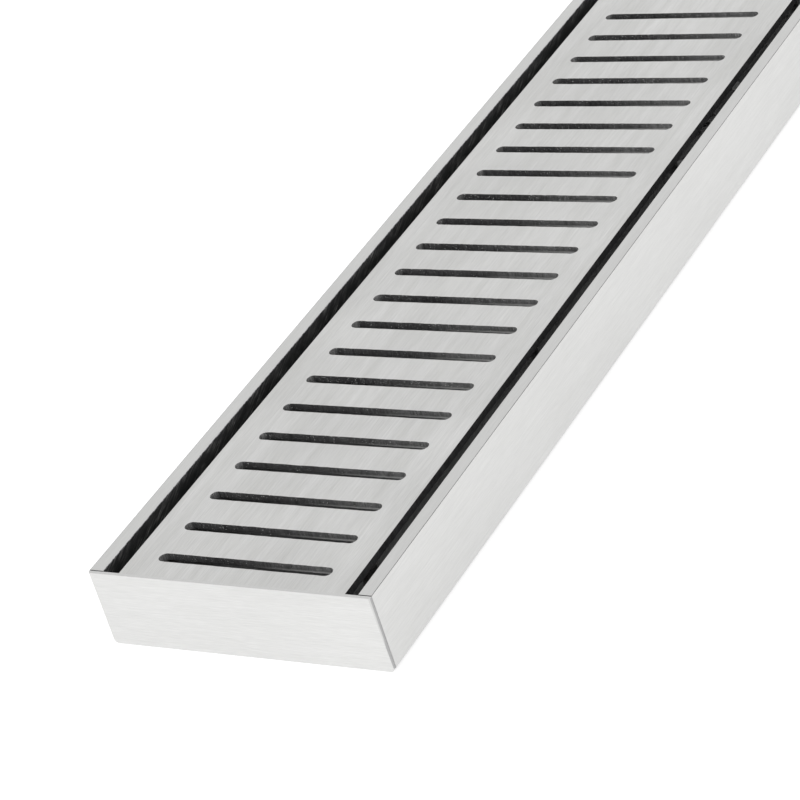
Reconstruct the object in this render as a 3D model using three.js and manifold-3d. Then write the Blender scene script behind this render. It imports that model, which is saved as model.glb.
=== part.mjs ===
// A linear floor drain: a shallow folded channel with end plates and rim strips, a slotted grate
// that lifts out on rubber-capped legs, and a base outlet with a lift-out strainer.
// Millimetres, +Z up. X runs across the channel and Y along it. The origin is under the middle of
// the channel, in the plane that its base lies on.
import * as THREE from 'three';
import { mergeVertices } from 'three/addons/utils/BufferGeometryUtils.js';
import Module from 'manifold-3d';

const wasm = await Module();
wasm.setup();

// ---- Driving dimensions ------------------------------------------------------------------------

// Channel, folded from one sheet, with its end plates and rims
const CHANNEL_LENGTH = 600; // over both end plates
const CHANNEL_WIDTH = 100; // over both side walls
const CHANNEL_HEIGHT = 27; // underside of the base to the rim top
const SHEET = 1.2; // sheet of the base, walls, rims and end plates
const BASE_FOLD_RADIUS = 0.3; // inside radius of the folds along the base
const END_PLATE_CHAMFER = 0.6; // dressed weld down each upright edge of an end plate
const RIM_WIDTH = 4.8; // flat top of each rim strip, with the mitred wall under its edge
const RIM_DEPTH = 7.5; // how far a rim's inner leg hangs down

// Grate
const GRATE_THICKNESS = 2.5;
const GRATE_RECESS = 1; // grate top below rim top
const SIDE_GAP = 5.1; // open slit between a rim and the grate
const END_GAP = 0.5; // running gap between an end plate and the grate
const GRATE_CORNER_RADIUS = 0.8;
const SLOT_WIDTH = 4;
const SLOT_PITCH = 15.6;
const SLOT_END_MARGIN = 9.3; // unbroken strip from a slot's end to the grate's long edge
const GRATE_END_MARGIN = 5; // least metal between the last slot and the grate's end

// Legs under the grate
const LEG_RADIUS = 3;
const LEG_PAIRS_PER_HALF = 3;
const LEG_END_SETBACK = 20; // from the grate's end to the outermost legs
const LEG_COLLAR_SPACE = 14; // from the outlet collar's edge to the nearest legs
const CAP_WALL = 1.3;
const CAP_FLOOR = 2; // rubber under the leg
const CAP_SOCKET_DEPTH = 4; // how far the leg stands in its cap

// Outlet and strainer
const PIPE_RADIUS = 25; // waste pipe that the seal grips
const SEAL_WIDTH = 3.8;
const SEAL_HEIGHT = 1.8;
const COLLAR_WALL = 1.8; // neck that passes through the base
const COLLAR_FLANGE_WIDTH = 6;
const COLLAR_FLANGE_THICKNESS = 2.4;
const SEAT_WIDTH = 3.6; // ledge that the strainer lies on
const SEAT_DEPTH = 1.2;
const STRAINER_THICKNESS = 1;
const STRAINER_HOLE_RADIUS = 1.8;
const STRAINER_RING_PITCH = 6; // between rings of holes, and about that between holes
const KNOB_RADIUS = 5.5;
const KNOB_HEIGHT = 8;
const KNOB_STEM_RADIUS = 2.5;

// Clearances
const JOINT_GAP = 0.05; // between faces that are welded or lie on each other
const MITRE_GAP = 0.1; // along the mitre between a rim and its wall
const RIM_END_GAP = 0.3; // between a rim's end and the end plate
const FIT = 0.2; // radial, round parts that are pressed or dropped in

// Facets. An extruded outline gets twice its value here on every arc, whether a corner or a circle.
const CORNER_DIVISIONS = 3;
const SLOT_END_DIVISIONS = 5;
const HOLE_DIVISIONS = 5;
const OUTLET_DIVISIONS = 30;
const RING_FACETS = 60; // right round, on turned parts
const KNOB_FACETS = 28;
const LEG_FACETS = 16;

// ---- Derived sizes and places ------------------------------------------------------------------

const halfWidth = CHANNEL_WIDTH / 2;
const innerLength = CHANNEL_LENGTH - 2 * SHEET; // between the end plates' inner faces
const trayLength = innerLength - 2 * JOINT_GAP;
const rimLength = innerLength - 2 * RIM_END_GAP;
const rimInnerX = halfWidth - RIM_WIDTH;
const foldOuterRadius = BASE_FOLD_RADIUS + SHEET;
const foldX = halfWidth - foldOuterRadius; // centre of the fold

const grateWidth = CHANNEL_WIDTH - 2 * (RIM_WIDTH + SIDE_GAP);
const grateLength = innerLength - 2 * END_GAP;
const grateTopZ = CHANNEL_HEIGHT - GRATE_RECESS;
const grateUnderZ = grateTopZ - GRATE_THICKNESS;
const slotLength = grateWidth - 2 * SLOT_END_MARGIN;
const slotRoom = grateLength - 2 * GRATE_END_MARGIN - SLOT_WIDTH;
const slotCount = Math.floor(slotRoom / SLOT_PITCH) + 1;

const sealOuterRadius = PIPE_RADIUS + SEAL_WIDTH;
const neckInnerRadius = sealOuterRadius + FIT;
const neckOuterRadius = neckInnerRadius + COLLAR_WALL;
const outletHoleRadius = neckOuterRadius + FIT;
const flangeRadius = outletHoleRadius + COLLAR_FLANGE_WIDTH;
const flangeUnderZ = SHEET + JOINT_GAP;
const flangeTopZ = flangeUnderZ + COLLAR_FLANGE_THICKNESS;
const seatRadius = neckInnerRadius + SEAT_WIDTH;
const seatZ = flangeTopZ - SEAT_DEPTH;
const strainerRadius = seatRadius - FIT;
const strainerTopZ = seatZ + JOINT_GAP + STRAINER_THICKNESS;

const capRadius = LEG_RADIUS + FIT + CAP_WALL;
const capUnderZ = SHEET + JOINT_GAP;
const legUnderZ = capUnderZ + CAP_FLOOR + JOINT_GAP;
const legX = (grateWidth - SLOT_END_MARGIN) / 2; // along the middle of the unbroken strip
const innerLegY = flangeRadius + LEG_COLLAR_SPACE + capRadius;
const outerLegY = grateLength / 2 - LEG_END_SETBACK;

// ---- Materials ---------------------------------------------------------------------------------

const brushedSteel = new THREE.MeshStandardMaterial({ color: 0xc8c8c6, roughness: 0.35, metalness: 1 });
const plainSteel = new THREE.MeshStandardMaterial({ color: 0xb9bab8, roughness: 0.4, metalness: 1 });
const rubber = new THREE.MeshStandardMaterial({ color: 0x26272a, roughness: 0.85, metalness: 0 });

// ---- Shape helpers -----------------------------------------------------------------------------

// Cross-section drawn in X and Z, run along Y and centred on it.
function extrudeAlong(section, length) {
  const settings = { depth: length, bevelEnabled: false, curveSegments: CORNER_DIVISIONS };
  return new THREE.ExtrudeGeometry(section, settings).rotateX(Math.PI / 2).translate(0, length / 2, 0);
}

// Outline drawn in X and Y, raised from bottomZ to topZ.
function extrudeUp(outline, bottomZ, topZ, curveSegments = CORNER_DIVISIONS) {
  const settings = { depth: topZ - bottomZ, bevelEnabled: false, curveSegments };
  return new THREE.ExtrudeGeometry(outline, settings).translate(0, 0, bottomZ);
}

// Closed profile of [radius, z] points, turned about the Z axis.
function turn(profile, facets) {
  const points = profile.map(([radius, z]) => new THREE.Vector2(radius, z));
  return new THREE.LatheGeometry([...points, points[0]], facets).rotateX(Math.PI / 2);
}

function circlePath(x, y, radius) {
  return new THREE.Path().absarc(x, y, radius, 0, 2 * Math.PI);
}

function toSolid(geometry) {
  const bare = geometry.clone();
  bare.deleteAttribute('normal');
  bare.deleteAttribute('uv');
  const merged = mergeVertices(bare, 1e-4);
  return new wasm.Manifold(new wasm.Mesh({
    numProp: 3,
    vertProperties: new Float32Array(merged.attributes.position.array),
    triVerts: new Uint32Array(merged.index.array),
  }));
}

function toGeometry(solid) {
  const mesh = solid.getMesh();
  const geometry = new THREE.BufferGeometry();
  geometry.setAttribute('position', new THREE.BufferAttribute(mesh.vertProperties, 3));
  geometry.setIndex(new THREE.BufferAttribute(mesh.triVerts, 1));
  geometry.computeVertexNormals();
  return geometry;
}

const drain = new THREE.Group();

function addPart(name, geometry, material, position = [0, 0, 0]) {
  const mesh = new THREE.Mesh(geometry, material);
  mesh.name = name;
  mesh.position.set(...position);
  drain.add(mesh);
}

// ---- Channel -----------------------------------------------------------------------------------

// The channel's outside, down one wall, across the base and up the other.
function outerSection() {
  const section = new THREE.Shape();
  section.moveTo(-halfWidth, CHANNEL_HEIGHT);
  section.lineTo(-halfWidth, foldOuterRadius);
  section.absarc(-foldX, foldOuterRadius, foldOuterRadius, Math.PI, 1.5 * Math.PI);
  section.absarc(foldX, foldOuterRadius, foldOuterRadius, 1.5 * Math.PI, 2 * Math.PI);
  section.lineTo(halfWidth, CHANNEL_HEIGHT);
  return section;
}

// Folded base and side walls. The walls' top edges are mitred inwards to meet the rims, and the
// middle of the base is pierced for the outlet collar.
function channelTray() {
  const innerX = halfWidth - SHEET;
  const section = outerSection();
  section.lineTo(innerX, CHANNEL_HEIGHT - SHEET);
  section.absarc(foldX, foldOuterRadius, BASE_FOLD_RADIUS, 0, -0.5 * Math.PI, true);
  section.absarc(-foldX, foldOuterRadius, BASE_FOLD_RADIUS, -0.5 * Math.PI, -Math.PI, true);
  section.lineTo(-innerX, CHANNEL_HEIGHT - SHEET);
  const pierced = new THREE.Shape();
  pierced.absarc(0, 0, outletHoleRadius, 0, 2 * Math.PI);
  const cutter = extrudeUp(pierced, -SHEET, 2 * SHEET, OUTLET_DIVISIONS);
  return toGeometry(toSolid(extrudeAlong(section, trayLength)).subtract(toSolid(cutter)));
}

// A plate as wide and high as the channel, with its lower corners rounded like the base folds and
// its upright outer edges dressed to a small chamfer. The outer face looks towards -Y.
function endPlate() {
  const plan = new THREE.Shape();
  plan.moveTo(-halfWidth, SHEET / 2);
  plan.lineTo(-halfWidth, END_PLATE_CHAMFER - SHEET / 2);
  plan.lineTo(-halfWidth + END_PLATE_CHAMFER, -SHEET / 2);
  plan.lineTo(halfWidth - END_PLATE_CHAMFER, -SHEET / 2);
  plan.lineTo(halfWidth, END_PLATE_CHAMFER - SHEET / 2);
  plan.lineTo(halfWidth, SHEET / 2);
  const blank = toSolid(extrudeAlong(outerSection(), 2 * SHEET));
  return toGeometry(blank.intersect(toSolid(extrudeUp(plan, -SHEET, CHANNEL_HEIGHT + SHEET))));
}

// Angle strip: a flat top mitred to the side wall, and a leg hanging down on the grate's side.
// side is +1 for the right rim and -1 for the left.
function rimStrip(side) {
  const mitreShift = MITRE_GAP * Math.SQRT2;
  const corners = [
    [halfWidth - mitreShift, CHANNEL_HEIGHT],
    [rimInnerX, CHANNEL_HEIGHT],
    [rimInnerX, CHANNEL_HEIGHT - RIM_DEPTH],
    [rimInnerX + SHEET, CHANNEL_HEIGHT - RIM_DEPTH],
    [rimInnerX + SHEET, CHANNEL_HEIGHT - SHEET],
    [halfWidth - SHEET - mitreShift, CHANNEL_HEIGHT - SHEET],
  ];
  const section = new THREE.Shape(corners.map(([x, z]) => new THREE.Vector2(side * x, z)));
  return extrudeAlong(section, rimLength);
}

// ---- Grate -------------------------------------------------------------------------------------

function gratePlate() {
  const x = grateWidth / 2;
  const y = grateLength / 2;
  const r = GRATE_CORNER_RADIUS;
  const outline = new THREE.Shape();
  outline.absarc(x - r, y - r, r, 0, 0.5 * Math.PI);
  outline.absarc(r - x, y - r, r, 0.5 * Math.PI, Math.PI);
  outline.absarc(r - x, r - y, r, Math.PI, 1.5 * Math.PI);
  outline.absarc(x - r, r - y, r, 1.5 * Math.PI, 2 * Math.PI);
  const slotRadius = SLOT_WIDTH / 2;
  const slotEndX = slotLength / 2 - slotRadius;
  for (let i = 0; i < slotCount; i += 1) {
    const slotY = (i - (slotCount - 1) / 2) * SLOT_PITCH;
    const slot = new THREE.Path();
    slot.absarc(slotEndX, slotY, slotRadius, -0.5 * Math.PI, 0.5 * Math.PI);
    slot.absarc(-slotEndX, slotY, slotRadius, 0.5 * Math.PI, 1.5 * Math.PI);
    outline.holes.push(slot);
  }
  return extrudeUp(outline, grateUnderZ, grateTopZ, SLOT_END_DIVISIONS);
}

function grateLeg() {
  return turn([[0, legUnderZ], [LEG_RADIUS, legUnderZ], [LEG_RADIUS, grateUnderZ], [0, grateUnderZ]], LEG_FACETS);
}

// Rubber cup that the leg stands in.
function legCap() {
  const socketRadius = LEG_RADIUS + FIT;
  const topZ = legUnderZ + CAP_SOCKET_DEPTH;
  const floorZ = capUnderZ + CAP_FLOOR;
  return turn([
    [0, capUnderZ], [capRadius, capUnderZ], [capRadius, topZ],
    [socketRadius, topZ], [socketRadius, floorZ], [0, floorZ],
  ], LEG_FACETS);
}

// ---- Outlet ------------------------------------------------------------------------------------

// Flange on the channel floor, with a rebate that the strainer lies in, and a neck through the
// base that ends level with its underside.
function outletCollar() {
  return turn([
    [neckInnerRadius, 0], [neckOuterRadius, 0], [neckOuterRadius, flangeUnderZ],
    [flangeRadius, flangeUnderZ], [flangeRadius, flangeTopZ], [seatRadius, flangeTopZ],
    [seatRadius, seatZ], [neckInnerRadius, seatZ],
  ], RING_FACETS);
}

function outletSeal() {
  return turn([
    [PIPE_RADIUS, JOINT_GAP], [sealOuterRadius, JOINT_GAP],
    [sealOuterRadius, JOINT_GAP + SEAL_HEIGHT], [PIPE_RADIUS, JOINT_GAP + SEAL_HEIGHT],
  ], RING_FACETS);
}

// Flat disc pierced with rings of round holes between the knob and the pipe's bore.
function strainerDisc() {
  const outline = new THREE.Shape();
  outline.absarc(0, 0, strainerRadius, 0, 2 * Math.PI);
  const lastRing = PIPE_RADIUS - STRAINER_HOLE_RADIUS;
  const firstRing = KNOB_RADIUS + 2 * STRAINER_HOLE_RADIUS;
  for (let radius = firstRing; radius <= lastRing; radius += STRAINER_RING_PITCH) {
    const holes = Math.floor((2 * Math.PI * radius) / STRAINER_RING_PITCH);
    for (let i = 0; i < holes; i += 1) {
      const angle = (2 * Math.PI * i) / holes;
      outline.holes.push(circlePath(radius * Math.cos(angle), radius * Math.sin(angle), STRAINER_HOLE_RADIUS));
    }
  }
  return outline;
}

// Round head on a thin stem, so that fingertips can grip under it.
function strainerKnob() {
  const headUnderZ = strainerTopZ + KNOB_HEIGHT / 2;
  const topZ = strainerTopZ + KNOB_HEIGHT;
  const edge = KNOB_HEIGHT / 8;
  return turn([
    [0, strainerTopZ], [KNOB_STEM_RADIUS, strainerTopZ], [KNOB_STEM_RADIUS, headUnderZ],
    [KNOB_RADIUS, headUnderZ + edge], [KNOB_RADIUS, topZ - edge], [KNOB_RADIUS - edge, topZ], [0, topZ],
  ], KNOB_FACETS);
}

// ---- Assembly ----------------------------------------------------------------------------------

addPart('channel_tray', channelTray(), brushedSteel);
const endPlateY = (CHANNEL_LENGTH - SHEET) / 2;
addPart('near_end_plate', endPlate(), brushedSteel, [0, -endPlateY, 0]);
addPart('far_end_plate', endPlate().rotateZ(Math.PI), brushedSteel, [0, endPlateY, 0]);
addPart('right_rim_strip', rimStrip(1), brushedSteel);
addPart('left_rim_strip', rimStrip(-1), brushedSteel);

addPart('grate_plate', gratePlate(), brushedSteel);
for (const [sideName, side] of [['left', -1], ['right', 1]]) {
  for (let i = 0; i < 2 * LEG_PAIRS_PER_HALF; i += 1) {
    const half = i < LEG_PAIRS_PER_HALF ? -1 : 1;
    const step = half < 0 ? LEG_PAIRS_PER_HALF - 1 - i : i - LEG_PAIRS_PER_HALF;
    const y = half * (innerLegY + ((outerLegY - innerLegY) * step) / (LEG_PAIRS_PER_HALF - 1));
    addPart(`grate_leg_${sideName}_${i + 1}`, grateLeg(), plainSteel, [side * legX, y, 0]);
    addPart(`leg_cap_${sideName}_${i + 1}`, legCap(), rubber, [side * legX, y, 0]);
  }
}

addPart('outlet_collar', outletCollar(), plainSteel);
addPart('outlet_seal', outletSeal(), rubber);
const strainerUnderZ = strainerTopZ - STRAINER_THICKNESS;
addPart('strainer_disc', extrudeUp(strainerDisc(), strainerUnderZ, strainerTopZ, HOLE_DIVISIONS), plainSteel);
addPart('strainer_knob', strainerKnob(), plainSteel);

export default drain;
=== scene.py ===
# A linear floor drain in stainless steel: the looks of every piece around its fixed frame.
# Metres, +Z up. X runs across the channel and Y along it, from the near end to the far end.
import math

import bmesh
import bpy
from mathutils import Matrix, Vector


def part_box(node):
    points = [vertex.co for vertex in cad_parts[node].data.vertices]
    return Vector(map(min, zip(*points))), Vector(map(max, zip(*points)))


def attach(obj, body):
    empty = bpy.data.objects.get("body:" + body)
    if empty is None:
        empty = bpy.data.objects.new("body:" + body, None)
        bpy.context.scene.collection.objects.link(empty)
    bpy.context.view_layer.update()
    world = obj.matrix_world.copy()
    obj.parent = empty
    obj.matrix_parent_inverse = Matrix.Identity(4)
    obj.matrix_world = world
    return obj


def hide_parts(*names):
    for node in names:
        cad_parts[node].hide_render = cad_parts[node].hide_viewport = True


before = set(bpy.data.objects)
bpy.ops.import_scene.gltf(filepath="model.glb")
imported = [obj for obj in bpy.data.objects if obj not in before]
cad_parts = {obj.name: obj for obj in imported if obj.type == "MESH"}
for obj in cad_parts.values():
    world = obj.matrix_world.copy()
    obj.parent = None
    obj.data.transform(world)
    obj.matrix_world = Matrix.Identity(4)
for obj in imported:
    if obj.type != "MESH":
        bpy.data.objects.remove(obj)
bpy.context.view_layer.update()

MM = 0.001

# ---- Sizes -------------------------------------------------------------------------------------

# What the frame's boxes don't give
FOLD_RADIUS = 0.3 * MM  # inside the folds along the channel's base
CORNER_CHAMFER = 0.6 * MM  # dressed weld down each upright edge of an end plate
MITRE_GAP = 0.1 * MM  # hairline seam between a rim and its wall
SLOT_PITCH = 15.6 * MM
SLOT_WIDTH = 4 * MM
SLOT_END_MARGIN = 9.3 * MM
GRATE_END_MARGIN = 5 * MM
GRATE_CORNER_RADIUS = 0.8 * MM
NECK_INNER_RADIUS = 29 * MM
NECK_OUTER_RADIUS = 30.8 * MM
OUTLET_HOLE_RADIUS = 31 * MM
SEAT_RADIUS = 32.6 * MM
SEAT_DEPTH = 1.2 * MM
PIPE_RADIUS = 25 * MM
STRAINER_HOLE_RADIUS = 1.8 * MM
STRAINER_RING_PITCH = 6 * MM
CAP_SOCKET_DEPTH = 4 * MM
CAP_SOCKET_RADIUS = 3.2 * MM

# Finishing sizes
SHEET_EDGE = 0.12 * MM  # edge broken on brushed sheet
GRATE_EDGE = 0.2 * MM  # edge broken on the grate and its slots
BRUSHED_WRAP = 0.2 * MM  # how far the outside brushing reaches round the channel's folds
CUT_STEP = 0.6 * MM  # spacing of points along a cut edge
CUT_WANDER = 0.09 * MM  # how far a laser-cut edge strays
WANDER_SPACING = 2.2 * MM  # distance along the edge from one stray to the next
SCRATCH_SLANT = math.radians(-24)  # lean of the grinder's scratches
BEAD_WIDTH = 2 * MM
RIPPLE_PITCH = 0.9 * MM

tray_low, tray_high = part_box("channel_tray")
near_low, near_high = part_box("near_end_plate")
far_low, far_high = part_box("far_end_plate")
rim_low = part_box("right_rim_strip")[0]
grate_low, grate_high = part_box("grate_plate")

HALF_WIDTH = near_high.x
HEIGHT = near_high.z
SHEET = near_high.y - near_low.y
FOLD_OUTER = FOLD_RADIUS + SHEET
RIM_INNER = rim_low.x
GRATE_WIDTH = grate_high.x - grate_low.x
GRATE_LENGTH = grate_high.y - grate_low.y
GRATE_THICKNESS = grate_high.z - grate_low.z
SLOT_LENGTH = GRATE_WIDTH - 2 * SLOT_END_MARGIN
SLOT_COUNT = math.floor((GRATE_LENGTH - 2 * GRATE_END_MARGIN - SLOT_WIDTH) / SLOT_PITCH) + 1

# ---- Node helper -------------------------------------------------------------------------------


def add(tree, kind, feeds=None, **settings):
    """Adds a node. settings are its own properties; feeds gives inputs a value or a link."""
    node = tree.nodes.new(kind)
    for name, value in settings.items():
        setattr(node, name, value)
    for key, value in (feeds or {}).items():
        if isinstance(value, bpy.types.NodeSocket):
            tree.links.new(value, node.inputs[key])
        else:
            node.inputs[key].default_value = value
    return node


def linear(hex_colour):
    """An sRGB hex value as the linear colour that shaders take."""
    parts = [int(hex_colour[i:i + 2], 16) / 255 for i in (0, 2, 4)]
    curve = [c / 12.92 if c <= 0.04045 else ((c + 0.055) / 1.055) ** 2.4 for c in parts]
    return (*curve, 1.0)


# ---- Materials ---------------------------------------------------------------------------------


def new_material(name, metallic, roughness):
    """A material with its shader, and the object's own coordinates."""
    material = bpy.data.materials.new(name)
    material.use_nodes = True
    tree = material.node_tree
    tree.nodes.clear()
    shader = add(tree, "ShaderNodeBsdfPrincipled", {"Metallic": metallic, "Roughness": roughness})
    out = add(tree, "ShaderNodeOutputMaterial")
    tree.links.new(shader.outputs["BSDF"], out.inputs["Surface"])
    place = add(tree, "ShaderNodeTexCoord").outputs["Object"]
    return material, tree, shader, place


def grain(tree, place, sizes, detail=2.0, roughness=0.6):
    """Noise whose blotches are sizes long along X, Y and Z, in metres."""
    scaled = add(tree, "ShaderNodeMapping", {"Vector": place, "Scale": [1 / s for s in sizes]})
    noise = add(tree, "ShaderNodeTexNoise", {
        "Vector": scaled.outputs["Vector"], "Scale": 1.0, "Detail": detail, "Roughness": roughness})
    return noise.outputs["Fac"]


def blend_colours(tree, factor, low, high, start=0.3, end=0.7):
    """Two hex colours mixed by a factor that is stretched from start and end to the full range."""
    ramp = add(tree, "ShaderNodeValToRGB", {"Fac": factor})
    ramp.color_ramp.elements[0].position = start
    ramp.color_ramp.elements[1].position = end
    ramp.color_ramp.elements[0].color = linear(low)
    ramp.color_ramp.elements[1].color = linear(high)
    return ramp.outputs["Color"]


def remap(tree, factor, low, high, start=0.3, end=0.7):
    """Carries a factor from the range start to end over to the range low to high, and clamps it."""
    node = add(tree, "ShaderNodeMapRange", {
        "Value": factor, "From Min": start, "From Max": end, "To Min": low, "To Max": high})
    return node.outputs["Result"]


def math_node(tree, operation, first, second):
    return add(tree, "ShaderNodeMath", {0: first, 1: second}, operation=operation).outputs[0]


def tint(tree, kind, amount, first, second):
    """Two colours mixed in Blender's way of that kind, such as MIX or MULTIPLY."""
    mix = add(tree, "ShaderNodeMix", data_type="RGBA", blend_type=kind)
    for socket, value in ((mix.inputs[0], amount), (mix.inputs[6], first), (mix.inputs[7], second)):
        if isinstance(value, bpy.types.NodeSocket):
            tree.links.new(value, socket)
        else:
            socket.default_value = value
    return mix.outputs[2]


def brushed_stainless(name, along, dark, light, depth):
    """Stainless steel sheet brushed on an abrasive belt. along is "X" or "Y", the belt's way, dark
    and light are the shades of its hairs, and depth is how strongly it is marked. The scratches,
    about 0.1 mm wide, are drawn up to 0.3 mm wide so that they show: fine light and dark hairs,
    with the gloss spread across them."""
    material, tree, shader, place = new_material(name, 1.0, 0.34)

    def sized(across, run):
        return (run, across, across) if along == "X" else (across, run, across)

    hairs = grain(tree, place, sized(0.3 * MM, 11 * MM), detail=2.0)
    scratches = grain(tree, place, sized(0.15 * MM, 4 * MM), detail=1.0)
    bands = grain(tree, place, sized(3 * MM, 50 * MM), detail=2.0)
    cloud = grain(tree, place, (40 * MM, 40 * MM, 40 * MM), detail=1.5)
    both = math_node(tree, "ADD", math_node(tree, "MULTIPLY", hairs, 0.6),
                     math_node(tree, "MULTIPLY", scratches, 0.4))
    hair_colour = blend_colours(tree, both, dark, light, 0.34, 0.66)
    wide_colour = tint(tree, "MULTIPLY", 1.0, blend_colours(tree, bands, "F5F5F4", "FFFFFF"),
                       blend_colours(tree, cloud, "F5F5F5", "FFFFFF"))
    tree.links.new(tint(tree, "MULTIPLY", depth, hair_colour, wide_colour),
                   shader.inputs["Base Color"])
    tree.links.new(remap(tree, both, 0.34 - 0.06 * depth, 0.34 + 0.06 * depth),
                   shader.inputs["Roughness"])
    bump = add(tree, "ShaderNodeBump", {
        "Height": both, "Strength": 0.12 * depth, "Distance": 0.02 * MM})
    tree.links.new(bump.outputs["Normal"], shader.inputs["Normal"])
    normal = add(tree, "ShaderNodeNewGeometry").outputs["Normal"]
    run = (1.0, 0.0, 0.0) if along == "X" else (0.0, 1.0, 0.0)
    across = add(tree, "ShaderNodeVectorMath", {0: normal, 1: run}, operation="CROSS_PRODUCT")
    tree.links.new(across.outputs[0], shader.inputs["Tangent"])
    shader.inputs["Anisotropic"].default_value = 0.55
    return material


def laser_cut_stainless(reach, under, lit_foot_size):
    """Stainless steel as the laser leaves it, on slot walls and sheet edges: a dark oxide film with
    fine upright striations and a few bright specks. Painted light lies over the oxide: within reach
    of the middle the walls are darkest towards -X and lighten towards +X, as light falling in from
    the left would light them, and they are lighter where they face +X, painted shading of each
    slot's round end. A painted lit band runs along the foot of the last half of each wall, up to
    lit_foot_size above the underside. Beyond the slots the edges are evenly dark."""
    material, tree, shader, place = new_material("stainless_laser_cut_edge_painted_light", 0.5, 0.5)
    stripes = grain(tree, place, (0.3 * MM, 0.3 * MM, 3 * MM), detail=2.0)
    specks = grain(tree, place, (0.35 * MM, 0.35 * MM, 0.35 * MM), detail=0.0)
    cloud = grain(tree, place, (9 * MM, 9 * MM, 9 * MM), detail=2.0)
    at = add(tree, "ShaderNodeSeparateXYZ", {0: place}).outputs
    facing = add(tree, "ShaderNodeNewGeometry").outputs["Normal"]
    inside = remap(tree, at["X"], 1.0, 0.0, reach + lit_foot_size, reach + 2 * lit_foot_size)
    # Painted light: the oxide lightens from -0.3 reach towards +X, as light falling in from the left
    # lights the +X half of each slot.
    across = math_node(tree, "MULTIPLY", inside,
                       remap(tree, at["X"], 0.0, 1.0, -0.3 * reach, reach))
    heavy = tint(tree, "MIX", inside, linear("6A6A6B"), linear("727273"))
    oxide_and_painted_ramp = tint(tree, "MIX", across, heavy, linear("B0B0B0"))
    # Painted shading: lighter where the wall faces +X, on the round end of each slot.
    painted_end_shading = math_node(tree, "MULTIPLY", inside, remap(
        tree, add(tree, "ShaderNodeSeparateXYZ", {0: facing}).outputs["X"], 0.0, 1.0, 0.2, 0.8))
    oxide_with_painted_light = tint(tree, "MIX", painted_end_shading, oxide_and_painted_ramp, linear("CCCCCC"))
    striped = tint(tree, "MULTIPLY", 1.0, oxide_with_painted_light, blend_colours(tree, stripes, "A6A6A6", "FFFFFF"))
    clouded = tint(tree, "MULTIPLY", 0.5, striped, blend_colours(tree, cloud, "8A8A8A", "FFFFFF"))
    # Painted light: a lit band along the foot of each wall, up to lit_foot_size above the underside,
    # growing towards +X over the last half of the slot.
    low = remap(tree, at["Z"], 1.0, 0.0, under + 0.4 * lit_foot_size, under + lit_foot_size)
    last = math_node(tree, "MULTIPLY", remap(tree, at["X"], 0.0, 1.0, 0.0, reach),
                     math_node(tree, "MULTIPLY", low, inside))
    with_painted_foot_light = tint(tree, "MIX", last, clouded, linear("F0F0EF"))
    shine = math_node(tree, "MULTIPLY", inside, remap(tree, specks, 0.0, 1.0, 0.74, 0.79))
    tree.links.new(tint(tree, "MIX", shine, with_painted_foot_light, linear("E4E4E3")), shader.inputs["Base Color"])
    tree.links.new(remap(tree, stripes, 0.38, 0.6), shader.inputs["Roughness"])
    bump = add(tree, "ShaderNodeBump", {"Height": stripes, "Strength": 0.5, "Distance": 0.05 * MM})
    tree.links.new(bump.outputs["Normal"], shader.inputs["Normal"])
    return material


def hand_ground_stainless(top, highlight_depth):
    """Stainless steel cut by hand and cleaned up with a grinder: dull, with light slanting
    scratches, and a ragged painted highlight, highlight_depth deep, along the height of top, where
    the rounded top edge of the leg catches the light."""
    material, tree, shader, place = new_material("stainless_hand_ground_edge_painted_highlight", 1.0, 0.45)
    slanted = add(tree, "ShaderNodeMapping", {
        "Vector": place, "Rotation": (SCRATCH_SLANT, 0.0, 0.0)}).outputs["Vector"]
    scratches = grain(tree, slanted, (0.3 * MM, 7 * MM, 0.25 * MM), detail=2.0)
    patches = grain(tree, place, (9 * MM, 9 * MM, 5 * MM), detail=2.0)
    ragged = grain(tree, place, (1.2 * MM, 1.2 * MM, 1.2 * MM), detail=3.0)
    up = add(tree, "ShaderNodeSeparateXYZ", {0: place}).outputs["Z"]
    # Painted highlight: a ragged bright band along the top of the leg, where its rounded edge catches the
    # light.
    edge = remap(tree, up, 0.0, 1.0, top - highlight_depth, top)
    bright = math_node(tree, "MULTIPLY", edge, remap(tree, ragged, 0.0, 1.0, 0.42, 0.56))
    marks = math_node(tree, "MULTIPLY", remap(tree, scratches, 0.0, 1.0, 0.52, 0.7),
                      remap(tree, patches, 0.1, 1.0, 0.4, 0.6))
    worn = tint(tree, "MIX", marks, linear("6E6E6F"), linear("D8D8D7"))
    tree.links.new(tint(tree, "MIX", bright, worn, linear("F0F0EF")), shader.inputs["Base Color"])
    tree.links.new(remap(tree, scratches, 0.36, 0.6), shader.inputs["Roughness"])
    bump = add(tree, "ShaderNodeBump", {
        "Height": scratches, "Strength": 0.6, "Distance": 0.05 * MM})
    tree.links.new(bump.outputs["Normal"], shader.inputs["Normal"])
    return material


def mill_finish_stainless():
    """Cold-rolled stainless steel sheet as it comes from the mill: a dull, slightly cloudy grey
    with faint rolling lines along the sheet, and no brushing."""
    material, tree, shader, place = new_material("stainless_mill_finish_sheet", 1.0, 0.4)
    cloud = grain(tree, place, (14 * MM, 20 * MM, 14 * MM), detail=3.0)
    lines = grain(tree, place, (0.8 * MM, 120 * MM, 0.8 * MM), detail=1.0)
    colour = tint(tree, "MULTIPLY", 1.0, blend_colours(tree, cloud, "868686", "9A9A9A"),
                  blend_colours(tree, lines, "E8E8E8", "FFFFFF"))
    tree.links.new(colour, shader.inputs["Base Color"])
    tree.links.new(remap(tree, cloud, 0.34, 0.5), shader.inputs["Roughness"])
    bump = add(tree, "ShaderNodeBump", {"Height": lines, "Strength": 0.1, "Distance": 0.02 * MM})
    tree.links.new(bump.outputs["Normal"], shader.inputs["Normal"])
    return material


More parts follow.
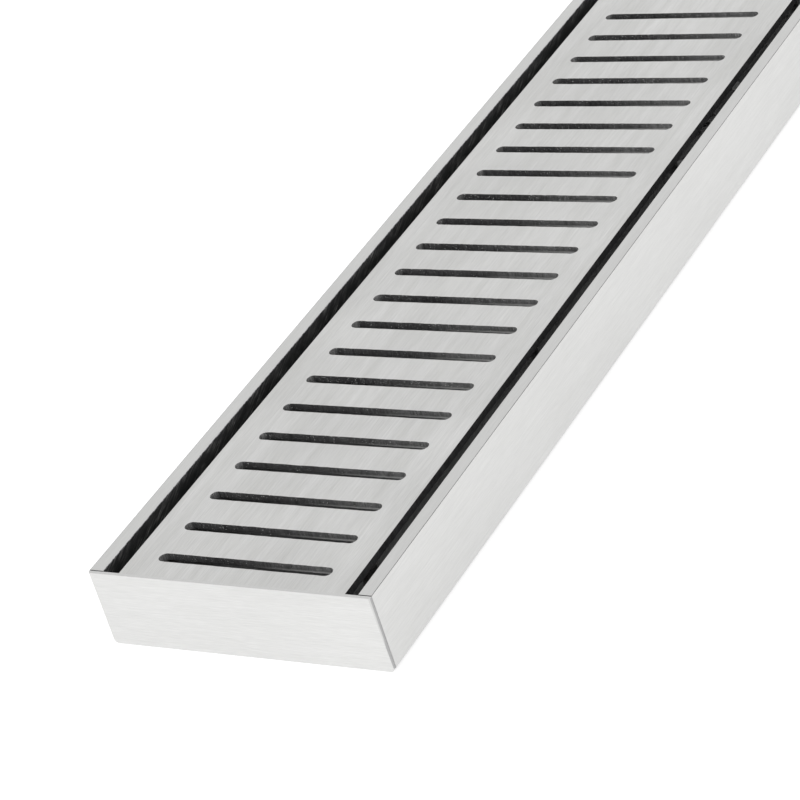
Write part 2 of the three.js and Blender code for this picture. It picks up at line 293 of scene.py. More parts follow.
def turned_stainless():
    """Stainless steel bar turned on a lathe: fine rings one feed apart, 0.15 mm, drawn twice as
    coarse so that they show."""
    material, tree, shader, place = new_material("stainless_lathe_turned", 1.0, 0.3)
    ring = 0.3 * MM
    rings = grain(tree, place, (40 * MM, 40 * MM, ring), detail=1.0)
    cloud = grain(tree, place, (3 * MM, 3 * MM, 3 * MM), detail=2.0)
    colour = tint(tree, "MULTIPLY", 1.0, blend_colours(tree, rings, "C4C4C3", "E0E0DF"),
                  blend_colours(tree, cloud, "E6E6E6", "FFFFFF"))
    tree.links.new(colour, shader.inputs["Base Color"])
    tree.links.new(remap(tree, rings, 0.3, 0.46), shader.inputs["Roughness"])
    bump = add(tree, "ShaderNodeBump", {"Height": rings, "Strength": 0.15, "Distance": 0.03 * MM})
    tree.links.new(bump.outputs["Normal"], shader.inputs["Normal"])
    return material


def tig_welded_stainless():
    """A TIG weld left as it cooled: bright ripples with a straw to blue heat tint at their edges."""
    material, tree, shader, place = new_material("stainless_tig_weld_bead", 1.0, 0.3)
    heat = grain(tree, place, (7 * MM, 7 * MM, 7 * MM), detail=2.0)
    pits = grain(tree, place, (0.4 * MM, 0.4 * MM, 0.4 * MM), detail=2.0)
    warm = blend_colours(tree, heat, "C6C4BF", "B5AA98", 0.4, 0.62)
    cool = blend_colours(tree, heat, "FFFFFF", "C4C8D6", 0.6, 0.72)
    tree.links.new(tint(tree, "MULTIPLY", 1.0, warm, cool), shader.inputs["Base Color"])
    tree.links.new(remap(tree, pits, 0.22, 0.42), shader.inputs["Roughness"])
    bump = add(tree, "ShaderNodeBump", {"Height": pits, "Strength": 0.2, "Distance": 0.05 * MM})
    tree.links.new(bump.outputs["Normal"], shader.inputs["Normal"])
    return material


def dressed_weld_stainless(side, line):
    """A weld ground flush and dressed by hand: short scratches, and a dull dark line where the
    last of the joint shows, line wide, beside the channel's sides at side from the middle."""
    material, tree, shader, place = new_material("stainless_weld_ground_flush", 1.0, 0.45)
    scratches = grain(tree, place, (0.2 * MM, 0.2 * MM, 1.6 * MM), detail=2.0)
    across = add(tree, "ShaderNodeSeparateXYZ", {0: place}).outputs["X"]
    out = add(tree, "ShaderNodeMath", {0: across}, operation="ABSOLUTE").outputs[0]
    joint = remap(tree, out, 0.0, 1.0, side - 1.3 * line, side - line)
    tree.links.new(tint(tree, "MIX", joint, blend_colours(tree, scratches, "CCCCCB", "DADAD9"),
                        linear("B2B2B2")), shader.inputs["Base Color"])
    tree.links.new(remap(tree, scratches, 0.4, 0.55), shader.inputs["Roughness"])
    bump = add(tree, "ShaderNodeBump", {"Height": scratches, "Strength": 0.2, "Distance": 0.03 * MM})
    tree.links.new(bump.outputs["Normal"], shader.inputs["Normal"])
    return material


def moulded_rubber():
    """Black EPDM rubber from a mould: matt, with a fine even tooth and a little dusty bloom."""
    material, tree, shader, place = new_material("epdm_rubber_moulded", 0.0, 0.75)
    tooth = grain(tree, place, (0.25 * MM, 0.25 * MM, 0.25 * MM), detail=2.0)
    bloom = grain(tree, place, (6 * MM, 6 * MM, 6 * MM), detail=3.0)
    tree.links.new(blend_colours(tree, bloom, "1B1C1E", "303236"), shader.inputs["Base Color"])
    tree.links.new(remap(tree, bloom, 0.62, 0.85), shader.inputs["Roughness"])
    bump = add(tree, "ShaderNodeBump", {"Height": tooth, "Strength": 0.25, "Distance": 0.05 * MM})
    tree.links.new(bump.outputs["Normal"], shader.inputs["Normal"])
    return material


GRATE_STEEL = brushed_stainless("stainless_belt_brushed_grate", "Y", "D6D6D5", "E8E8E7", 1.0)
BRUSHED_LONG = brushed_stainless("stainless_satin_lengthways", "Y", "D4D4D3", "DEDEDD", 0.35)
BRUSHED_CROSS = brushed_stainless("stainless_satin_crossways", "X", "D7D7D6", "E4E4E3", 0.35)
# The last argument is the size of the painted lit band at the foot of the slot walls.
CUT_EDGE = laser_cut_stainless(SLOT_LENGTH / 2, grate_low.z, 0.8 * MM)
GROUND_EDGE = hand_ground_stainless(HEIGHT, 0.7 * MM)
MILL = mill_finish_stainless()
TURNED = turned_stainless()
WELD = tig_welded_stainless()
DRESSED = dressed_weld_stainless(HALF_WIDTH, 0.18 * MM)
RUBBER = moulded_rubber()

# ---- Mesh helpers ------------------------------------------------------------------------------


def new_piece(name, mesh, materials):
    piece = bpy.data.objects.new(name, mesh)
    bpy.context.scene.collection.objects.link(piece)
    for material in materials:
        mesh.materials.append(material)
    return piece


def rounded(corners, steps=4):
    """A closed outline of (a, b, radius) corners as points, each corner turned to an arc."""
    points = []
    for i, (a, b, radius) in enumerate(corners):
        here = Vector((a, b))
        if radius <= 0:
            points.append(here)
            continue
        before = (Vector(corners[i - 1][:2]) - here).normalized()
        after = (Vector(corners[(i + 1) % len(corners)][:2]) - here).normalized()
        half = before.angle(after) / 2
        centre = here + (before + after).normalized() * (radius / math.sin(half))
        start = here + before * (radius / math.tan(half)) - centre
        end = here + after * (radius / math.tan(half)) - centre
        turn = start.angle_signed(end)
        for step in range(steps + 1):
            points.append(centre + Matrix.Rotation(-turn * step / steps, 2) @ start)
    return points


def recalculated(work):
    bmesh.ops.recalc_face_normals(work, faces=work.faces)
    return work


def to_mesh(name, work):
    mesh = bpy.data.meshes.new(name)
    work.to_mesh(mesh)
    work.free()
    return mesh


def run_along(name, outline, start, end, materials):
    """A closed outline of (x, z) points run along Y from start to end."""
    work = bmesh.new()
    rings = [[work.verts.new((p.x, y, p.y)) for p in outline] for y in (start, end)]
    count = len(outline)
    for i in range(count):
        j = (i + 1) % count
        work.faces.new((rings[0][i], rings[0][j], rings[1][j], rings[1][i]))
    work.faces.new(rings[0])
    work.faces.new(rings[1])
    return new_piece(name, to_mesh(name, recalculated(work)), materials)


def turned(name, outline, facets, materials):
    """A closed outline of (radius, z) points turned about the Z axis."""
    work = bmesh.new()
    columns = []
    for i in range(facets):
        angle = 2 * math.pi * i / facets
        column = []
        for k, p in enumerate(outline):
            on_axis = p.x < 1e-9
            if on_axis and columns:
                column.append(columns[0][k])
            else:
                column.append(work.verts.new((p.x * math.cos(angle), p.x * math.sin(angle), p.y)))
        columns.append(column)
    count = len(outline)
    for i in range(facets):
        here, there = columns[i], columns[(i + 1) % facets]
        for k in range(count):
            m = (k + 1) % count
            ring = [here[k], here[m], there[m], there[k]]
            corners = [v for n, v in enumerate(ring) if v not in ring[:n]]
            if len(corners) > 2:
                work.faces.new(corners)
    return new_piece(name, to_mesh(name, recalculated(work)), materials)


def bevel(piece, width, segments=2, angle=40):
    modifier = piece.modifiers.new("broken_edges", "BEVEL")
    modifier.width = width
    modifier.segments = segments
    modifier.limit_method = "ANGLE"
    modifier.angle_limit = math.radians(angle)
    modifier.use_clamp_overlap = True
    return modifier


def baked(piece):
    """The piece's mesh with its modifiers worked out."""
    graph = bpy.context.evaluated_depsgraph_get()
    mesh = bpy.data.meshes.new_from_object(piece.evaluated_get(graph), depsgraph=graph)
    piece.modifiers.clear()
    piece.data = mesh
    mesh.name = piece.name
    return mesh


def make_plain(piece, smooth_below=35):
    """Turns the piece's modifiers to plain mesh, smooth but for its sharper edges, with its large
    flats kept flat beside their rounded edges."""
    mesh = baked(piece)
    mesh.polygons.foreach_set("use_smooth", [True] * len(mesh.polygons))
    mesh.set_sharp_from_angle(angle=math.radians(smooth_below))
    flats = piece.modifiers.new("flats", "WEIGHTED_NORMAL")
    flats.keep_sharp = True
    flats.weight = 100
    baked(piece)


def paint_faces(piece, material, chosen):
    """Gives one of the piece's materials to the faces that chosen(centre, normal) picks."""
    index = piece.data.materials.find(material.name)
    for face in piece.data.polygons:
        if chosen(face.center, face.normal):
            face.material_index = index


def settle(piece, body, slot, *nodes):
    """Puts a finished piece on its body, in place of its frame nodes."""
    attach(piece, body)
    if nodes:
        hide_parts(*nodes)


# ---- Geometry node trees -----------------------------------------------------------------------


def new_tree(name, sockets):
    """A geometry tree with a Geometry output and these inputs: (name, type) pairs."""
    tree = bpy.data.node_groups.new(name, "GeometryNodeTree")
    tree.interface.new_socket("Geometry", in_out="OUTPUT", socket_type="NodeSocketGeometry")
    for label, kind in sockets:
        tree.interface.new_socket(label, in_out="INPUT", socket_type=f"NodeSocket{kind}")
    return tree, add(tree, "NodeGroupInput").outputs


def end_tree(tree, geometry, material):
    """Realizes the instances, gives them their material and closes the tree."""
    real = add(tree, "GeometryNodeRealizeInstances", {"Geometry": geometry}).outputs[0]
    shown = add(tree, "GeometryNodeSetMaterial", {"Geometry": real, "Material": material})
    out = add(tree, "NodeGroupOutput")
    tree.links.new(shown.outputs[0], out.inputs["Geometry"])


def joined(tree, *parts):
    join = add(tree, "GeometryNodeJoinGeometry")
    for part in parts:
        tree.links.new(part, join.inputs[0])
    return join.outputs[0]


def end_as_sheet(tree, outline, holes, ins):
    """Closes a tree with a flat sheet from an outline curve and hole curves, Thickness thick and
    raised to Underside Height, with Face on its two sides and Cut Edge on its edges."""
    flat = add(tree, "GeometryNodeFillCurve", {"Curve": joined(tree, outline, holes)}, mode="NGONS")
    raised = add(tree, "GeometryNodeExtrudeMesh", {
        "Mesh": flat.outputs[0], "Offset Scale": ins["Thickness"], "Individual": False},
        mode="FACES")
    under = add(tree, "GeometryNodeFlipFaces", {"Mesh": flat.outputs[0]})
    shell = add(tree, "GeometryNodeMergeByDistance", {
        "Geometry": joined(tree, raised.outputs["Mesh"], under.outputs[0]), "Distance": 0.001 * MM})
    lift = add(tree, "ShaderNodeCombineXYZ", {"Z": ins["Underside Height"]})
    lifted = add(tree, "GeometryNodeTransform", {
        "Geometry": shell.outputs[0], "Translation": lift.outputs[0]})
    real = add(tree, "GeometryNodeRealizeInstances", {"Geometry": lifted.outputs[0]})
    faced = add(tree, "GeometryNodeSetMaterial", {
        "Geometry": real.outputs[0], "Material": ins["Face"]})
    edged = add(tree, "GeometryNodeSetMaterial", {
        "Geometry": faced.outputs[0], "Selection": raised.outputs["Side"],
        "Material": ins["Cut Edge"]})
    out = add(tree, "NodeGroupOutput")
    tree.links.new(edged.outputs[0], out.inputs["Geometry"])


def use_tree(piece, tree, values):
    """Hangs a tree on a piece, with each named input set through its socket's identifier."""
    modifier = piece.modifiers.new(tree.name, "NODES")
    modifier.node_group = tree
    for item in tree.interface.items_tree:
        if item.in_out == "INPUT" and item.name in values:
            modifier[item.identifier] = values[item.name]


# ---- Grate -------------------------------------------------------------------------------------


def slotted_plate_tree():
    """A plate with a row of round-ended slots across it, whose cut edges wander a little."""
    tree, ins = new_tree("slotted_plate", [
        ("Width", "Float"), ("Length", "Float"), ("Thickness", "Float"), ("Corner Radius", "Float"),
        ("Slot Length", "Float"), ("Slot Width", "Float"), ("Slot Pitch", "Float"),
        ("Slot Count", "Int"), ("Cut Step", "Float"), ("Cut Wander", "Float"),
        ("Underside Height", "Float"), ("Face", "Material"), ("Cut Edge", "Material")])
    plate = add(tree, "GeometryNodeCurvePrimitiveQuadrilateral", {
        "Width": ins["Width"], "Height": ins["Length"]})
    outline = add(tree, "GeometryNodeFilletCurve", {
        "Curve": plate.outputs[0], "Radius": ins["Corner Radius"], "Count": 6}, mode="POLY")
    box = add(tree, "GeometryNodeCurvePrimitiveQuadrilateral", {
        "Width": ins["Slot Length"], "Height": ins["Slot Width"]})
    nearly_half = 0.4999  # a full half would make the two ends of a fillet meet
    end_radius = math_node(tree, "MULTIPLY", ins["Slot Width"], nearly_half)
    slot = add(tree, "GeometryNodeFilletCurve", {
        "Curve": box.outputs[0], "Radius": end_radius, "Count": 12}, mode="POLY")
    stepped = add(tree, "GeometryNodeResampleCurve", {
        "Curve": slot.outputs[0], "Length": ins["Cut Step"]}, mode="LENGTH")
    pitch = add(tree, "ShaderNodeCombineXYZ", {"Y": ins["Slot Pitch"]})
    last = math_node(tree, "SUBTRACT", ins["Slot Count"], 1.0)
    run = math_node(tree, "MULTIPLY", math_node(tree, "MULTIPLY", last, ins["Slot Pitch"]), -0.5)
    row = add(tree, "GeometryNodeMeshLine", {
        "Count": ins["Slot Count"], "Offset": pitch.outputs[0],
        "Start Location": add(tree, "ShaderNodeCombineXYZ", {"Y": run}).outputs[0]}, mode="OFFSET")
    placed = add(tree, "GeometryNodeInstanceOnPoints", {
        "Points": row.outputs[0], "Instance": stepped.outputs[0]})
    slots = add(tree, "GeometryNodeRealizeInstances", {"Geometry": placed.outputs[0]})
    where = add(tree, "GeometryNodeInputPosition").outputs[0]
    noise = add(tree, "ShaderNodeTexNoise", {
        "Vector": where, "Scale": 1 / WANDER_SPACING, "Detail": 2.0, "Roughness": 0.6})
    centred = add(tree, "ShaderNodeVectorMath", {
        0: noise.outputs["Color"], 1: (0.5, 0.5, 0.5)}, operation="SUBTRACT")
    strayed = add(tree, "ShaderNodeVectorMath", {
        0: centred.outputs[0], "Scale": math_node(tree, "MULTIPLY", ins["Cut Wander"], 4.0)},
        operation="SCALE")
    level = add(tree, "ShaderNodeVectorMath", {
        0: strayed.outputs[0], 1: (1.0, 1.0, 0.0)}, operation="MULTIPLY")
    wandered = add(tree, "GeometryNodeSetPosition", {
        "Geometry": slots.outputs[0], "Offset": level.outputs[0]})
    end_as_sheet(tree, outline.outputs[0], wandered.outputs[0], ins)
    return tree


def make_grate_plate():
    piece = new_piece("slotted_grate", bpy.data.meshes.new("slotted_grate"), [])
    use_tree(piece, slotted_plate_tree(), {
        "Width": GRATE_WIDTH, "Length": GRATE_LENGTH, "Thickness": GRATE_THICKNESS,
        "Corner Radius": GRATE_CORNER_RADIUS, "Slot Length": SLOT_LENGTH,
        "Slot Width": SLOT_WIDTH, "Slot Pitch": SLOT_PITCH, "Slot Count": SLOT_COUNT,
        "Cut Step": CUT_STEP, "Cut Wander": CUT_WANDER, "Underside Height": grate_low.z,
        "Face": GRATE_STEEL, "Cut Edge": CUT_EDGE})
    edges = bevel(piece, GRATE_EDGE, segments=1)
    edges.material = 0
    make_plain(piece)
    settle(piece, "grate", "brushed_stainless", "grate_plate")


def copies_tree():
    """Copies of the piece's own mesh in two rows, mirrored about both middle lines."""
    tree, ins = new_tree("pairs_of_legs", [
        ("Geometry", "Geometry"), ("Across", "Float"), ("Nearest", "Float"), ("Farthest", "Float"),
        ("Count", "Int"), ("Material", "Material")])
    start = add(tree, "ShaderNodeCombineXYZ", {"X": ins["Across"], "Y": ins["Nearest"]})
    end = add(tree, "ShaderNodeCombineXYZ", {"X": ins["Across"], "Y": ins["Farthest"]})
    row = add(tree, "GeometryNodeMeshLine", {
        "Count": ins["Count"], "Start Location": start.outputs[0], "Offset": end.outputs[0]},
        mode="END_POINTS").outputs[0]
    rows = [row]
    for scale in ((-1, 1, 1), (1, -1, 1), (-1, -1, 1)):
        rows.append(add(tree, "GeometryNodeTransform", {"Geometry": row, "Scale": scale}).outputs[0])
    placed = add(tree, "GeometryNodeInstanceOnPoints", {
        "Points": joined(tree, *rows), "Instance": ins["Geometry"]})
    end_tree(tree, placed.outputs[0], ins["Material"])
    return tree


def make_legs():
    """The welded studs under the grate and the rubber caps they stand in."""
    sides, count = ("left", "right"), 6
    leg_names = [f"grate_leg_{side}_{i + 1}" for side in sides for i in range(count)]
    cap_names = [f"leg_cap_{side}_{i + 1}" for side in sides for i in range(count)]
    leg_low, leg_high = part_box("grate_leg_right_6")
    cap_low, cap_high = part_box("leg_cap_right_6")
    near_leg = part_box("grate_leg_right_4")
    radius = (leg_high.y - leg_low.y) / 2
    cap_radius = (cap_high.y - cap_low.y) / 2
    values = {
        "Across": (leg_low.x + leg_high.x) / 2, "Nearest": (near_leg[0].y + near_leg[1].y) / 2,
        "Farthest": (leg_low.y + leg_high.y) / 2, "Count": count // 2}
    tree = copies_tree()

    top, foot = leg_high.z, leg_low.z
    weld = 1.1 * MM
    stud = turned("grate_legs", rounded([
        (0, foot, 0), (radius, foot, 0.4 * MM), (radius, top - weld, 0.8 * MM),
        (radius + weld, top - 0.1 * MM, 0), (radius + weld, top, 0), (0, top, 0)]), 32, [])
    use_tree(stud, tree, {**values, "Material": TURNED})
    make_plain(stud)
    settle(stud, "grate", "plain_stainless", *leg_names)

    socket_floor = cap_high.z - CAP_SOCKET_DEPTH
    cup = turned("leg_caps", rounded([
        (0, cap_low.z, 0), (cap_radius, cap_low.z, 0.5 * MM), (cap_radius, cap_high.z, 0.5 * MM),
        (CAP_SOCKET_RADIUS, cap_high.z, 0.3 * MM), (CAP_SOCKET_RADIUS, socket_floor, 0),
        (0, socket_floor, 0)]), 32, [])
    use_tree(cup, tree, {**values, "Material": RUBBER})
    make_plain(cup)
    settle(cup, "grate", "rubber", *cap_names)


# ---- Channel -----------------------------------------------------------------------------------


def make_tray():
    """Folded base and walls: brushed outside, mill finish inside and underneath."""
    wall, top = HALF_WIDTH - SHEET, HEIGHT - SHEET
    mitre = 0.02 * MM
    outline = rounded([
        (-HALF_WIDTH, HEIGHT, mitre), (-HALF_WIDTH, 0, FOLD_OUTER), (HALF_WIDTH, 0, FOLD_OUTER),
        (HALF_WIDTH, HEIGHT, mitre), (wall, top, 0), (wall, SHEET, FOLD_RADIUS),
        (-wall, SHEET, FOLD_RADIUS), (-wall, top, 0)], steps=8)
    piece = run_along("folded_channel", outline, tray_low.y, tray_high.y,
                      [BRUSHED_LONG, MILL, CUT_EDGE])
    cutter = turned("outlet_cutter", [
        Vector((0, -SHEET)), Vector((OUTLET_HOLE_RADIUS, -SHEET)),
        Vector((OUTLET_HOLE_RADIUS, 2 * SHEET)), Vector((0, 2 * SHEET))], 96, [])
    hole = piece.modifiers.new("outlet", "BOOLEAN")
    hole.object = cutter
    hole.operation = "DIFFERENCE"
    make_plain(piece)
    bpy.data.objects.remove(cutter)

    def unbrushed(at, normal):
        outer_side = abs(normal.x) > 0.99 and abs(at.x) > HALF_WIDTH - SHEET / 2
        along_channel = abs(normal.y) < math.sqrt(0.5)
        return along_channel and not outer_side and abs(at.x) < HALF_WIDTH - BRUSHED_WRAP

    # The mitre faces inside the hairline seam take the dark cut-edge material: partly the colour of a cut
    # sheet edge, partly painted shade that darkens the seam.
    def mitred(at, normal):
        return at.z > top and normal.z > 0.5 and abs(normal.x) > 0.5

    paint_faces(piece, MILL, unbrushed)
    paint_faces(piece, CUT_EDGE, mitred)
    settle(piece, "channel", "brushed_stainless", "channel_tray")


def make_end_plate(name, node, low, high, outward):
    """A plate across the channel's end. outward is -1 at the near end and +1 at the far end."""
    outline = rounded([
        (-HALF_WIDTH, HEIGHT, 0), (-HALF_WIDTH, 0, FOLD_OUTER), (HALF_WIDTH, 0, FOLD_OUTER),
        (HALF_WIDTH, HEIGHT, 0)], steps=8)
    piece = run_along(name, outline, low.y, high.y, [BRUSHED_CROSS, DRESSED, MILL, BRUSHED_LONG])
    work = bmesh.new()
    work.from_mesh(piece.data)
    face_y = high.y if outward > 0 else low.y
    upright = [e for e in work.edges if all(abs(v.co.y - face_y) < 1e-6 for v in e.verts)
               and abs(sum(v.co.x for v in e.verts)) > 2 * HALF_WIDTH - 1e-6]
    bmesh.ops.bevel(work, geom=upright, offset=CORNER_CHAMFER, segments=1, affect="EDGES",
                    offset_type="OFFSET")
    work.to_mesh(piece.data)
    work.free()
    bevel(piece, SHEET_EDGE, segments=2, angle=50)
    make_plain(piece)

    def at_corner(at, normal):
        return abs(normal.x) > 0.5 and normal.z > -0.1 and abs(at.x) > HALF_WIDTH - CORNER_CHAMFER

    paint_faces(piece, MILL, lambda at, normal: normal.y * outward < -0.9)
    paint_faces(piece, DRESSED, at_corner)
    paint_faces(piece, BRUSHED_LONG, lambda at, normal: normal.z > 0.2)
    settle(piece, "channel", "brushed_stainless", node)


def make_rim(name, node, side):
    """Angle strip with a brushed top and an unbrushed inner leg. side is +1 right, -1 left."""
    low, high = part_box(node)
    shift = MITRE_GAP * math.sqrt(2)
    wall_edge, under = HALF_WIDTH - SHEET - shift, HEIGHT - SHEET
    bend = 0.35 * MM
    corners = [
        (HALF_WIDTH - shift, HEIGHT, 0.02 * MM), (RIM_INNER, HEIGHT, bend),
        (RIM_INNER, low.z, 0.15 * MM), (RIM_INNER + SHEET, low.z, 0.15 * MM),
        (RIM_INNER + SHEET, under, bend), (wall_edge, under, 0)]
    outline = rounded([(side * x, z, r) for x, z, r in corners], steps=5)
    piece = run_along(name, outline, low.y, high.y, [BRUSHED_LONG, GROUND_EDGE, MILL, CUT_EDGE])
    make_plain(piece)

    def inner_leg(at, normal):
        return normal.x * side < -0.8 and abs(at.x) < RIM_INNER + bend

    def hidden_side(at, normal):
        return normal.z < 0.2 and abs(at.x) > RIM_INNER + SHEET / 2

    # The mitred underside inside the hairline seam takes the dark cut-edge material: partly the colour of
    # a cut edge, partly painted shade that darkens the seam. The strip's ends are cut edges.
    def cut(at, normal):
        mitred = normal.z < -0.5 and normal.x * side > 0.5 and abs(at.x) > HALF_WIDTH - SHEET
        return mitred or abs(normal.y) > 0.8

    paint_faces(piece, GROUND_EDGE, inner_leg)
    paint_faces(piece, MILL, hidden_side)
    paint_faces(piece, CUT_EDGE, cut)
    settle(piece, "channel", "brushed_stainless", node)


def ripples_tree():
    """A weld bead: flat drops laid along a line, each lapping over the one before."""
    tree, ins = new_tree("weld_ripples", [
        ("Geometry", "Geometry"), ("Ripple Pitch", "Float"), ("Bead Width", "Float"),
        ("Seed", "Int"), ("Material", "Material")])
    line = add(tree, "GeometryNodeMeshToCurve", {"Mesh": ins["Geometry"]})
    steps = add(tree, "GeometryNodeResampleCurve", {
        "Curve": line.outputs[0], "Length": ins["Ripple Pitch"]}, mode="LENGTH")
    drop = add(tree, "GeometryNodeMeshUVSphere", {
        "Segments": 10, "Rings": 6, "Radius": math_node(tree, "MULTIPLY", ins["Bead Width"], 0.5)})
    along = add(tree, "GeometryNodeInputTangent")
    facing = add(tree, "FunctionNodeAlignRotationToVector", {"Vector": along.outputs[0]}, axis="Z")
    size = add(tree, "FunctionNodeRandomValue", {
        "Min": (0.9, 0.9, 0.55), "Max": (1.08, 1.08, 0.7), "Seed": ins["Seed"]},
        data_type="FLOAT_VECTOR")
    placed = add(tree, "GeometryNodeInstanceOnPoints", {
        "Points": steps.outputs[0], "Instance": drop.outputs[0],
        "Rotation": facing.outputs[0], "Scale": size.outputs[0]})
    end_tree(tree, placed.outputs[0], ins["Material"])
    return tree


def make_weld(name, tree, y, seed):
    """The bead inside the channel, down one wall, across the base and up the other."""
    sunk = 0.1 * BEAD_WIDTH
    x, floor = HALF_WIDTH - SHEET - sunk, SHEET + sunk
    top = rim_low.z - BEAD_WIDTH
    mesh = bpy.data.meshes.new(name)
    mesh.from_pydata([(-x, y, top), (-x, y, floor), (x, y, floor), (x, y, top)],
                     [(0, 1), (1, 2), (2, 3)], [])
    piece = new_piece(name, mesh, [])
    use_tree(piece, tree, {"Ripple Pitch": RIPPLE_PITCH, "Bead Width": BEAD_WIDTH, "Seed": seed,
                           "Material": WELD})
    make_plain(piece, 60)
    settle(piece, "channel", "plain_stainless")


def make_channel():
    make_tray()
    make_end_plate("near_end", "near_end_plate", near_low, near_high, -1)
    make_end_plate("far_end", "far_end_plate", far_low, far_high, 1)
    make_rim("right_rim", "right_rim_strip", 1)
    make_rim("left_rim", "left_rim_strip", -1)
    tree = ripples_tree()
    make_weld("near_end_weld", tree, near_high.y, 1)
    make_weld("far_end_weld", tree, far_low.y, 2)


# ---- Outlet ------------------------------------------------------------------------------------


def make_collar():
    low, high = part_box("outlet_collar")
    flange = high.x
    under = SHEET + 0.05 * MM
    seat = high.z - SEAT_DEPTH
    soft, crisp = 0.4 * MM, 0.15 * MM
    piece = turned("outlet_flange", rounded([
        (NECK_INNER_RADIUS, low.z, crisp), (NECK_OUTER_RADIUS, low.z, crisp),
        (NECK_OUTER_RADIUS, under, 0), (flange, under, 0), (flange, high.z, soft),
        (SEAT_RADIUS, high.z, soft), (SEAT_RADIUS, seat, 0), (NECK_INNER_RADIUS, seat, crisp)]),
        144, [TURNED])
    make_plain(piece)
    settle(piece, "channel", "plain_stainless", "outlet_collar")


def make_seal():
    """Ring with three lips around its bore."""
    low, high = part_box("outlet_seal")
    outer = high.x
    lips, depth = 3, 0.9 * MM
    tall = (high.z - low.z) / lips
    corners = [(outer, low.z, 0.15 * MM), (outer, high.z, 0.15 * MM)]
    for i in reversed(range(lips)):
        tip = low.z + (i + 0.5) * tall
        corners += [(PIPE_RADIUS + depth, tip + tall / 2, 0), (PIPE_RADIUS, tip, 0.1 * MM)]
    corners.append((PIPE_RADIUS + depth, low.z, 0))
    piece = turned("lip_seal", rounded(corners), 144, [RUBBER])
    make_plain(piece)
    settle(piece, "channel", "rubber", "outlet_seal")


def strainer_tree(rings):
    """A disc pierced by rings of holes: rings is how many rings the tree lays out."""
    tree, ins = new_tree("pierced_disc", [
        ("Radius", "Float"), ("Thickness", "Float"), ("Hole Radius", "Float"),
        ("First Ring", "Float"), ("Ring Pitch", "Float"), ("Underside Height", "Float"),
        ("Face", "Material"), ("Cut Edge", "Material")])
    disc = add(tree, "GeometryNodeCurvePrimitiveCircle", {"Radius": ins["Radius"], "Resolution": 96})
    hole = add(tree, "GeometryNodeCurvePrimitiveCircle", {
        "Radius": ins["Hole Radius"], "Resolution": 20})
    all_rings = []
    for i in range(rings):
        radius = math_node(tree, "MULTIPLY_ADD", ins["Ring Pitch"], float(i))
        tree.links.new(ins["First Ring"], radius.node.inputs[2])
        round_way = math_node(tree, "MULTIPLY", radius, 2 * math.pi)
        count = math_node(tree, "DIVIDE", round_way, ins["Ring Pitch"])
        spots = add(tree, "GeometryNodeMeshCircle", {
            "Vertices": add(tree, "FunctionNodeFloatToInt", {0: count}, rounding_mode="FLOOR").outputs[0],
            "Radius": radius})
        all_rings.append(spots.outputs[0])
    placed = add(tree, "GeometryNodeInstanceOnPoints", {
        "Points": joined(tree, *all_rings), "Instance": hole.outputs[0]})
    holes = add(tree, "GeometryNodeRealizeInstances", {"Geometry": placed.outputs[0]})
    end_as_sheet(tree, disc.outputs[0], holes.outputs[0], ins)
    return tree


def make_strainer():
    low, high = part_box("strainer_disc")
    knob_low, knob_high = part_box("strainer_knob")
    knob_radius = knob_high.x
    first = knob_radius + 2 * STRAINER_HOLE_RADIUS
    rings = math.floor((PIPE_RADIUS - STRAINER_HOLE_RADIUS - first) / STRAINER_RING_PITCH) + 1
    disc = new_piece("pierced_strainer", bpy.data.meshes.new("pierced_strainer"), [])
    use_tree(disc, strainer_tree(rings), {
        "Radius": high.x, "Thickness": high.z - low.z, "Hole Radius": STRAINER_HOLE_RADIUS,
        "First Ring": first, "Ring Pitch": STRAINER_RING_PITCH, "Underside Height": low.z,
        "Face": MILL, "Cut Edge": MILL})
    bevel(disc, 0.15 * MM, segments=2)
    make_plain(disc)
    settle(disc, "strainer", "plain_stainless", "strainer_disc")

    tall = knob_high.z - knob_low.z
    stem = 2.5 * MM
    head_under = knob_low.z + tall / 2
    knob = turned("lift_knob", rounded([
        (0, knob_low.z, 0), (stem + 0.8 * MM, knob_low.z, 0.3 * MM),
        (stem, knob_low.z + 0.9 * MM, 0.6 * MM), (stem, head_under, 0.7 * MM),
        (knob_radius, head_under + tall / 8, 0.8 * MM), (knob_radius, knob_high.z, 1.2 * MM),
        (0, knob_high.z, 0)], steps=6), 48, [TURNED])
    make_plain(knob)
    settle(knob, "strainer", "plain_stainless", "strainer_knob")


# ---- Stage -------------------------------------------------------------------------------------


def make_stage():
    """A plain white floor that glows evenly, like a light table, so that it stays pale. It is dark
    under the outlet, as the waste pipe would be."""
    work = bmesh.new()
    reach, drop = 6.0, 0.02 * MM
    bmesh.ops.create_grid(work, x_segments=1, y_segments=1, size=reach)
    floor = new_piece("floor", to_mesh("floor", work), [])
    floor.data.transform(Matrix.Translation((0, 0, -drop)))
    material = bpy.data.materials.new("white_studio_floor")
    material.use_nodes = True
    tree = material.node_tree
    shader = tree.nodes["Principled BSDF"]
    shader.inputs["Base Color"].default_value = linear("A8A8A8")
    shader.inputs["Roughness"].default_value = 0.9
    shader.inputs["Specular IOR Level"].default_value = 0.1
    shader.inputs["Emission Color"].default_value = (1, 1, 1, 1)
    place = add(tree, "ShaderNodeTexCoord").outputs["Object"]
    away = add(tree, "ShaderNodeVectorMath", {0: place}, operation="LENGTH").outputs["Value"]
    tree.links.new(remap(tree, away, 0.0, 0.74, OUTLET_HOLE_RADIUS, OUTLET_HOLE_RADIUS + 2 * MM),
                   shader.inputs["Emission Strength"])
    floor.data.materials.append(material)


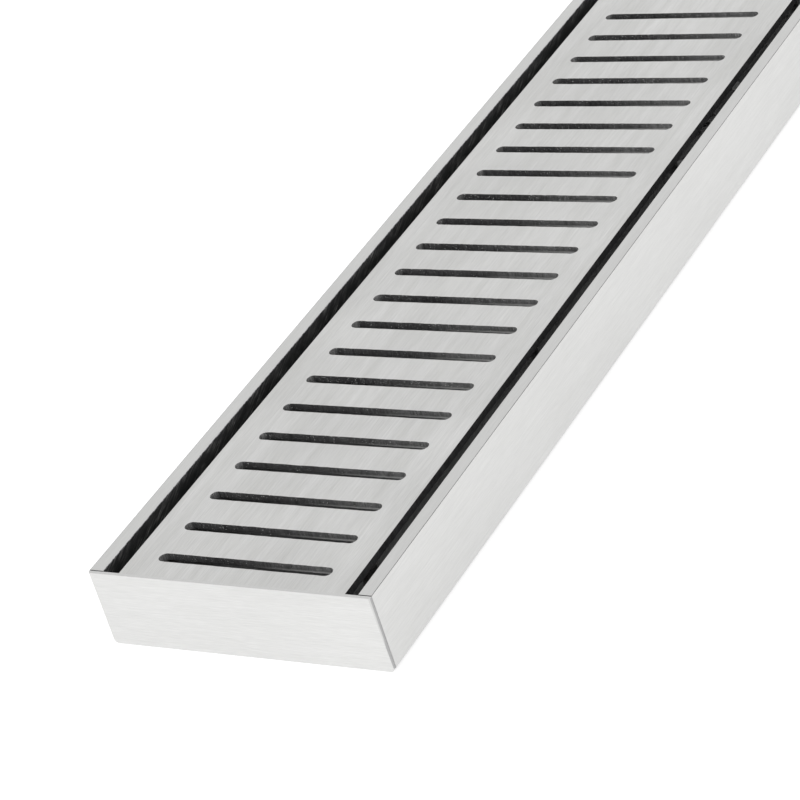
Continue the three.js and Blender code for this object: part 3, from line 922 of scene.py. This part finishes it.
def make_sky():
    """Studio surroundings: white at eye level, greyer overhead."""
    world = bpy.data.worlds.new("studio")
    bpy.context.scene.world = world
    world.use_nodes = True
    tree = world.node_tree
    tree.nodes.clear()
    way = add(tree, "ShaderNodeTexCoord").outputs["Generated"]
    height = add(tree, "ShaderNodeSeparateXYZ", {0: way}).outputs["Z"]
    ramp = add(tree, "ShaderNodeValToRGB", {"Fac": height})
    ramp.color_ramp.elements[0].position = 0.0
    ramp.color_ramp.elements[0].color = (1, 1, 1, 1)
    ramp.color_ramp.elements[1].position = 1.0
    ramp.color_ramp.elements[1].color = (0.8, 0.8, 0.8, 1)
    sky = add(tree, "ShaderNodeBackground", {"Color": ramp.outputs["Color"], "Strength": 0.98})
    out = add(tree, "ShaderNodeOutputWorld")
    tree.links.new(sky.outputs[0], out.inputs["Surface"])


def softbox(name, at, size, power):
    """A rectangular lamp that faces the object."""
    light = bpy.data.lights.new(name, "AREA")
    light.shape = "RECTANGLE"
    light.size, light.size_y = size
    light.energy = power
    lamp = bpy.data.objects.new(name, light)
    bpy.context.scene.collection.objects.link(lamp)
    lamp.location = at
    lamp.rotation_euler = (-Vector(at)).to_track_quat("-Z", "Y").to_euler()


def make_lights():
    softbox("left_softbox", at=(-1.6, -1.5, 2.1), size=(2.2, 2.2), power=20)
    softbox("front_softbox", at=(0.5, -2.6, 1.2), size=(2.2, 1.6), power=10)


def make_camera():
    """Long lens looking down the channel from its near right corner, rolled to the right."""
    azimuth, elevation, roll = (math.radians(a) for a in (37.47, 30.64, 18.2))
    data = bpy.data.cameras.new("camera")
    data.sensor_width = 36
    data.lens = 145.04
    data.clip_start, data.clip_end = 0.05, 50
    camera = bpy.data.objects.new("camera", data)
    bpy.context.scene.collection.objects.link(camera)
    ahead = Vector((-math.sin(azimuth) * math.cos(elevation),
                    math.cos(azimuth) * math.cos(elevation), -math.sin(elevation)))
    level = Vector((math.cos(azimuth), math.sin(azimuth), 0))
    above = level.cross(ahead)
    right = math.cos(roll) * level - math.sin(roll) * above
    up = right.cross(ahead)
    place = Matrix((right, up, -ahead)).transposed().to_4x4()
    place.translation = (533.03 * MM, -887.71 * MM, 536.53 * MM)
    camera.matrix_world = place
    bpy.context.scene.camera = camera


# ---- Scene -------------------------------------------------------------------------------------

make_camera()
make_grate_plate()
make_legs()
make_channel()
make_collar()
make_seal()
make_strainer()
make_stage()
make_sky()
make_lights()
bpy.context.scene.view_settings.view_transform = "Standard"
